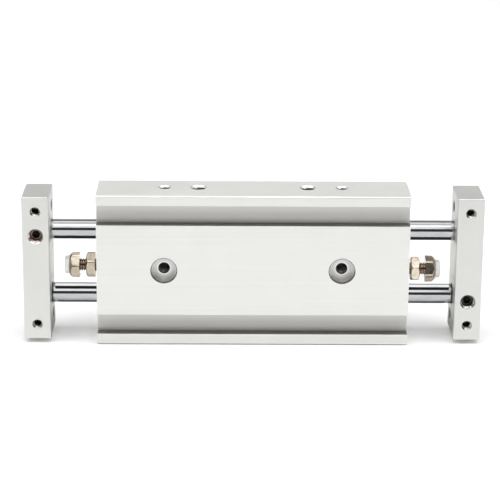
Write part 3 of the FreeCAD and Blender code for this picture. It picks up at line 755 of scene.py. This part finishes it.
def clamp_screw(end, finish):
    """Socket set screw: threaded outside, chamfered socket face, hexagon socket with a drill point."""
    low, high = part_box(f"{end}_clamp_screw")
    radius = (high.x - low.x) / 2
    middle = ((low.x + high.x) / 2, 0.0, (low.z + high.z) / 2)
    face = -low.y
    point = -high.y
    lip = SET_SOCKET_LIP
    socket = hexagon(SET_SOCKET, 0)
    bottom = face - SET_SOCKET_DEPTH
    rings = [(point, SET_POINT_RADIUS)]
    rings += thread_rings(point + SET_POINT_LENGTH, face, radius, SET_THREAD_DEPTH, M4_PITCH, SET_LEAD_IN)
    rings = [(along, faced_off(reach, along, face, radius)) for along, reach in rings]
    rings += [
        (face, lambda angle: socket(angle) + lip),
        (face - lip, socket),
        (bottom + 3 * lip, socket),
        (bottom + lip, SET_SOCKET / 4),
        (bottom, lip),
    ]
    screw = piece(f"{end}_set_screw", rings, FINE_SIDES, facing(middle, (0, -1, 0)), finish, "carriage")
    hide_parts(f"{end}_clamp_screw")


# Threads of the tapped holes, placed by the mounts of the record

def hole_thread(name, mouth, out, radius, depth, pitch, finish, body, flare=0.0):
    """The ridges of a tapped hole, as a thin sleeve against its wall, from the mouth inwards.

    A flare carries the sleeve on up the chamfer of the mouth."""
    steps = round(depth / pitch * STEPS_PER_PITCH)
    wall = radius - SLEEVE_GAP
    root = wall - SLEEVE_SKIN
    rings = []
    if flare:
        rings.append((flare, root + flare - SLEEVE_SKIN))
    for step in range(steps + 1):
        along = -depth * step / steps
        share = min(1.0, (depth + along) / pitch, MOUTH_SHARE - along / pitch)

        def inner(angle, along=along, share=share):
            turns = along / pitch - angle / (2 * math.pi)
            return root - HOLE_RIDGE * pitch * share * ridge(turns, HOLE_RIDGE)

        rings.append((along, inner))
    rings += [(-depth, wall), (0.0, wall)]
    if flare:
        rings.append((flare, root + flare))
    piece(name, rings, THREAD_SIDES, facing(mouth, out), finish, body, looped=True)


def record_mount(name):
    return named(frame["record"]["mounts"], name)


def pattern_points(pattern):
    """Centres of the two holes of a bolt pattern; it runs along X, or else along Z."""
    sizes = pattern["dims"]
    middle = Vector(pattern["pos_m"])
    if "spacing_x_mm" in sizes:
        half = Vector((sizes["spacing_x_mm"] / 2 * MM, 0, 0))
    else:
        half = Vector((0, 0, sizes["spacing_y_mm"] / 2 * MM))
    return middle - half, middle + half


def housing_threads(top_finish, mount_finish):
    """Threads of the ports and side holes in the top of the housing, and of its mounting holes."""
    low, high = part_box("housing")
    for end in ENDS:
        port = record_mount(f"{end}_port")
        port_radius = port["dims"]["r_mm"] * MM
        mouth = Vector((port["pos_m"][0], port["pos_m"][1], high.z - PORT_MOUTH))
        hole_thread(f"{end}_port_thread", mouth, (0, 0, 1), port_radius, PORT_THREAD, M5_PITCH,
                    top_finish, "housing", PORT_MOUTH - FLARE_END)
    side = record_mount("side_mount_holes")
    side_radius = side["dims"]["hole_r_mm"] * MM
    for end, point in zip(ENDS, pattern_points(side)):
        mouth = Vector((point.x, point.y, high.z - SIDE_TAP_MOUTH))
        hole_thread(f"{end}_side_thread", mouth, (0, 0, 1), side_radius, SIDE_TAP_THREAD, M4_PITCH,
                    top_finish, "housing", SIDE_TAP_MOUTH - FLARE_END)
    through = record_mount("body_mount_holes")
    through_radius = through["dims"]["hole_r_mm"] * MM
    start = COUNTERBORE_DEPTH * MM + MOUNT_THREAD_START
    for end, point in zip(ENDS, pattern_points(through)):
        for face, place, out in (("front", low.y + start, -1), ("back", high.y - start, 1)):
            mouth = Vector((point.x, place, point.z))
            hole_thread(f"{end}_{face}_mount_thread", mouth, (0, out, 0), through_radius, MOUNT_THREAD,
                        M4_PITCH, mount_finish, "housing")


def plate_threads(end, along_finish, front_finish, clamp_finish):
    """Threads of the holes along the rods, the front holes and the clamp screw's hole of one plate."""
    sign = ENDS[end]
    low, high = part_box(f"{end}_plate")
    inner = low.x if sign > 0 else high.x
    flare = FRONT_TAP_MOUTH - FLARE_END
    along = record_mount(f"{end}_plate_holes")
    along_radius = along["dims"]["hole_r_mm"] * MM
    along_depth = high.x - low.x - 2 * PLATE_TAP_MOUTH
    for row, point in zip(("lower", "upper"), pattern_points(along)):
        mouth = Vector((inner + sign * PLATE_TAP_MOUTH, point.y, point.z))
        hole_thread(f"{end}_{row}_plate_thread", mouth, (-sign, 0, 0), along_radius, along_depth, M4_PITCH,
                    along_finish, "carriage", PLATE_TAP_MOUTH - FLARE_END)
    front = record_mount(f"{end}_plate_front_holes")
    front_radius = front["dims"]["hole_r_mm"] * MM
    for row, point in zip(("lower", "upper"), pattern_points(front)):
        mouth = Vector((point.x, low.y + FRONT_TAP_MOUTH, point.z))
        hole_thread(f"{end}_{row}_front_thread", mouth, (0, -1, 0), front_radius, FRONT_TAP_THREAD,
                    M3_PITCH, front_finish, "carriage", flare)
    screw_low, screw_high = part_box(f"{end}_clamp_screw")
    middle = (screw_low + screw_high) / 2
    mouth = Vector((middle.x, low.y + FRONT_TAP_MOUTH, middle.z))
    clamp_radius = (screw_high.x - screw_low.x) / 2 + SET_HOLE_ROOM
    hole_thread(f"{end}_clamp_thread", mouth, (0, -1, 0), clamp_radius, screw_low.y - mouth.y, M4_PITCH,
                clamp_finish, "carriage", flare)


# The whole part

def dress_nodes(finishes):
    """Give every solid the finish of its record slot.

    A finish that depends on the node is a function of its name and of the middle of its box in Y and Z."""
    slots = {row["node"]: row["material_slot"] for row in frame["record"]["subparts"]}
    for name, item in frame["nodes"].items():
        chosen = finishes[slots[name]]
        if callable(chosen):
            low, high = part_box(name)
            chosen = chosen(name, ((low.y + high.y) / 2, (low.z + high.z) / 2))
        item.data.materials.clear()
        item.data.materials.append(chosen)


def housing_finish():
    low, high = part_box("housing")
    groove_rise = high.z - low.z - 2 * FLANGE_HEIGHT - GROOVE_WIDTH
    hole = pattern_points(record_mount("body_mount_holes"))[1]
    return anodised_aluminium(
        "housing_aluminium_finish", bright=(0.865, 0.865, 0.84), dull=(0.805, 0.805, 0.78), narrow=1.03,
        zones=[groove_shade_zone(low.y, low.z + FLANGE_HEIGHT, groove_rise),
               counterbore_shade_zone(hole.x, hole.z, high.y)])


def dress_solids(plated, pad):
    """Finishes of the solids, by the slots of the record."""
    low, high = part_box("lower_rod")
    lower_rod = ((low.y + high.y) / 2, (low.z + high.z) / 2)
    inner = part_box("right_plate")[0].x

    def rod_chrome(name, middle):
        # the lower rods take more of the painted shade where they meet the plates than the upper ones
        return hard_chrome(name, inner, 0.9 if middle == lower_rod else 0.3)

    def end_plating(name, middle):
        return plated[name.split("_")[0]]

    def cover_alloy(name, middle):
        return turned_metal(name, middle, light=(0.62, 0.56, 0.44), dark=(0.5, 0.44, 0.33), roughness=0.34)

    def piston_alloy(name, middle):
        return turned_metal(name, middle, light=(0.8, 0.8, 0.79), dark=(0.7, 0.7, 0.69), roughness=0.3)

    dress_nodes({
        "housing_aluminium": housing_finish(),
        "plate_aluminium": anodised_aluminium(
            "plate_aluminium_finish", bright=(0.77, 0.77, 0.75), dull=(0.71, 0.71, 0.69), narrow=0.87,
            zones=[rod_shade_zone(lower_rod, inner)]),
        "hard_chrome": rod_chrome,
        "plated_steel": end_plating,
        "bumper_urethane": pad,
        "cushion_urethane": urethane("cushion_urethane_finish", light=(0.5, 0.36, 0.16),
                                     dark=(0.38, 0.26, 0.1), weight=0.3),
        "seal_rubber": rubber("seal_rubber_finish"),
        "spring_steel": spring_steel("spring_steel_finish"),
        "black_steel": black_oxide("black_steel_finish"),
        "cover_alloy": cover_alloy,
        "piston_alloy": piston_alloy,
        "magnet_compound": magnet_compound("magnet_compound_finish"),
    })


def dress_part():
    """Finishes of the solids, screws and bumpers in place of plain ones, and the threads of the holes."""
    plated = {
        # the left stop's plating is a darker copy of the same finish, a painted shade
        "left": plated_steel("dull_plated_steel_finish", tone=0.76),
        "right": plated_steel("bright_plated_steel_finish", tone=1.0),
    }
    pad = urethane("bumper_urethane_finish", light=(0.85, 0.845, 0.80), dark=(0.79, 0.785, 0.74),
                   weight=0.5)
    dress_solids(plated, pad)
    set_screws = {
        "left": set_screw_steel("browned_screw_finish", light=(0.28, 0.20, 0.165),
                                dark=(0.09, 0.06, 0.045)),
        "right": set_screw_steel("blackened_screw_finish", light=(0.10, 0.097, 0.093),
                                 dark=(0.03, 0.029, 0.027)),
    }
    for end in ENDS:
        end_stop(end, plated[end], pad)
        clamp_screw(end, set_screws[end])
    # painted shade in the tapped holes: near black below their unshaded depth; the ports, side holes,
    # mounting holes and plate holes along the rods dark all through; dark rims on the plates' front holes
    # and the right clamp hole
    shadowed = (0.12, 0.118, 0.115)
    deepest_shade = (0.04, 0.039, 0.038)
    bright_rim = cut_thread("bright_rim_thread_finish", light=(0.10, 0.098, 0.095), dark=deepest_shade,
                            rim=(0.8, 0.79, 0.77), rim_depth=0.25 * MM)
    mount = cut_thread("mount_thread_finish", light=(0.42, 0.415, 0.40), dark=shadowed, rim=shadowed,
                       unshaded=3.0 * MM)
    dark = cut_thread("dark_thread_finish", light=shadowed, dark=deepest_shade, rim=shadowed)
    plain = cut_thread("plain_thread_finish", light=(0.84, 0.83, 0.81), dark=(0.58, 0.57, 0.55),
                       rim=(0.24, 0.235, 0.23))
    browned = cut_thread("browned_thread_finish", light=(0.80, 0.70, 0.65), dark=(0.46, 0.34, 0.28),
                         rim=(0.66, 0.56, 0.52))
    housing_threads(bright_rim, mount)
    plate_threads("left", dark, plain, browned)
    plate_threads("right", dark, plain, plain)


# Stage

def seen_ray(tree):
    """1 where the camera or a mirror or clear surface looks straight at the backdrop."""
    path = tree.nodes.new("ShaderNodeLightPath")
    total = path.outputs["Is Camera Ray"]
    for word in ("Is Glossy Ray", "Is Transmission Ray"):
        larger = tree.nodes.new("ShaderNodeMath")
        larger.operation = "MAXIMUM"
        tree.links.new(total, larger.inputs[0])
        tree.links.new(path.outputs[word], larger.inputs[1])
        total = larger.outputs[0]
    return total


def level_card(left, right, front, back, height):
    """Corners of a card that lies level."""
    return [(left, front, height), (right, front, height), (right, back, height), (left, back, height)]


def cross_card(place, half_width, low, high):
    """Corners of a card that stands across the view."""
    return [(-half_width, place, low), (half_width, place, low), (half_width, place, high),
            (-half_width, place, high)]


def side_card(place, front, back, low, high):
    """Corners of a card that stands at the side of the view."""
    return [(place, front, low), (place, back, low), (place, back, high), (place, front, high)]


def sheet(name, corners, material_name):
    """A flat object of four corners, and the node tree of its material, still empty."""
    mesh = bpy.data.meshes.new(name)
    mesh.from_pydata(corners, [], [(0, 1, 2, 3)])
    item = bpy.data.objects.new(name, mesh)
    bpy.context.scene.collection.objects.link(item)
    finish = bpy.data.materials.new(material_name)
    finish.use_nodes = True
    finish.node_tree.nodes.clear()
    item.data.materials.append(finish)
    return item, finish.node_tree


def floor(tint, lift):
    """White table: lit and shadowed as usual, with a little lift to white where it is looked at."""
    corners = level_card(-FLOOR_HALF, FLOOR_HALF, -FLOOR_HALF, FLOOR_HALF, -FLOOR_DROP)
    item, tree = sheet("floor", corners, "table_white")
    diffuse = tree.nodes.new("ShaderNodeBsdfDiffuse")
    diffuse.inputs["Color"].default_value = (tint, tint, tint, 1.0)
    amount = tree.nodes.new("ShaderNodeMath")
    amount.operation = "MULTIPLY"
    tree.links.new(seen_ray(tree), amount.inputs[0])
    amount.inputs[1].default_value = lift
    glow = tree.nodes.new("ShaderNodeEmission")
    tree.links.new(amount.outputs[0], glow.inputs["Strength"])
    both = tree.nodes.new("ShaderNodeAddShader")
    tree.links.new(diffuse.outputs[0], both.inputs[0])
    tree.links.new(glow.outputs[0], both.inputs[1])
    output = tree.nodes.new("ShaderNodeOutputMaterial")
    tree.links.new(both.outputs[0], output.inputs["Surface"])


def flag(name, corners, level):
    """A card that only mirrors see, as the walls, gaps and reflectors of a studio."""
    item, tree = sheet(name, corners, name)
    glow = tree.nodes.new("ShaderNodeEmission")
    glow.inputs["Color"].default_value = (level, level, level, 1.0)
    output = tree.nodes.new("ShaderNodeOutputMaterial")
    tree.links.new(glow.outputs[0], output.inputs["Surface"])
    item.visible_camera = False
    item.visible_diffuse = False
    item.visible_shadow = False


def world(ambient):
    """White backdrop where it is seen, a softer level where it lights the object."""
    sky = bpy.data.worlds.new("studio")
    sky.use_nodes = True
    bpy.context.scene.world = sky
    tree = sky.node_tree
    background = tree.nodes["Background"]
    background.inputs["Color"].default_value = (1.0, 1.0, 1.0, 1.0)
    level = tree.nodes.new("ShaderNodeMapRange")
    tree.links.new(seen_ray(tree), level.inputs["Value"])
    level.inputs["To Min"].default_value = ambient
    level.inputs["To Max"].default_value = 1.0
    tree.links.new(level.outputs["Result"], background.inputs["Strength"])


def panel(name, low_deg, high_deg, distance, width, radiance, aside_deg=0.0):
    """A soft light between two angles above the front of the floor, turned aside to the right."""
    middle = math.radians((low_deg + high_deg) / 2)
    aside = math.radians(aside_deg)
    height = 2 * distance * math.tan(math.radians((high_deg - low_deg) / 2))
    data = bpy.data.lights.new(name, "AREA")
    data.shape = "RECTANGLE"
    data.size = width
    data.size_y = height
    data.energy = radiance * math.pi * width * height
    lamp = bpy.data.objects.new(name, data)
    ground = distance * math.cos(middle)
    lamp.location = (ground * math.sin(aside), -ground * math.cos(aside), distance * math.sin(middle))
    lamp.rotation_euler = (math.pi / 2 - middle, 0, aside)
    lamp.visible_camera = False
    bpy.context.scene.collection.objects.link(lamp)


def studio():
    """Floor, backdrop, lamps and the cards that the metal mirrors."""
    floor(tint=0.92, lift=0.07)
    world(ambient=0.55)
    panel("overhead_panel", low_deg=57, high_deg=101, distance=1.6, width=3.2, radiance=1.62)
    panel("front_strip", low_deg=31, high_deg=68, distance=1.0, width=0.35, radiance=1.5)
    for end, sign in ENDS.items():
        panel(f"{end}_softbox", low_deg=40, high_deg=68, distance=1.0, width=0.55, radiance=1.4,
              aside_deg=64 * sign)
        flag(f"{end}_wall", side_card(1.4 * sign, front=-1.0, back=1.2, low=0.0, high=1.2), level=0.25)
        left, right = sorted(sign * place for place in ROD_SHOWS)
        # painted shade and highlight sheets, seen only in reflections, between and under the rods of each
        # end
        for name, front, back, height, level in PAINTED_ROD_REFLECTIONS:
            flag(f"{end}_{name}", level_card(left, right, front * MM, back * MM, height * MM), level)
    # a sheet a little darker than the floor in front of the housing: a painted shade that the lower flange
    # mirrors
    flag("front_floor", level_card(-48 * MM, 48 * MM, front=-22 * MM, back=-9.2 * MM, height=0.0),
         level=1.04)
    flag("overhead_back", level_card(-1.0, 1.0, front=0.2, back=0.75, height=1.55), level=1.6)
    flag("overhead_gap", level_card(-0.3, 0.3, front=-0.48, back=0.2, height=1.45), level=1.1)
    flag("front_wall", cross_card(-1.1, half_width=2.0, low=0.0, high=2.3), level=0.25)
    flag("front_dark", cross_card(-0.9, half_width=0.4, low=0.0, high=0.46), level=0.07)
    flag("back_wall", cross_card(1.2, half_width=2.0, low=0.0, high=0.9), level=0.8)
    flag("back_wall_top", cross_card(1.2, half_width=2.0, low=0.9, high=2.6), level=0.25)


def camera():
    data = bpy.data.cameras.new("camera")
    data.sensor_width = SENSOR_WIDTH
    data.lens = FOCAL_PIXELS / IMAGE_PIXELS * SENSOR_WIDTH
    data.clip_start = 0.01
    item = bpy.data.objects.new("camera", data)
    bpy.context.scene.collection.objects.link(item)
    level_share = math.cos(CAMERA_PITCH)
    ahead = Vector((math.sin(CAMERA_YAW) * level_share, math.cos(CAMERA_YAW) * level_share,
                    -math.sin(CAMERA_PITCH)))
    right = ahead.cross(Vector((0, 0, 1))).normalized()
    up = right.cross(ahead)
    tilt = Matrix.Rotation(CAMERA_ROLL, 3, -ahead)
    axes = Matrix((tilt @ right, tilt @ up, -ahead)).transposed()
    item.matrix_world = Matrix.Translation(CAMERA_AT) @ axes.to_4x4()
    bpy.context.scene.camera = item


dress_part()
studio()
camera()
bpy.context.scene.view_settings.view_transform = "Standard"
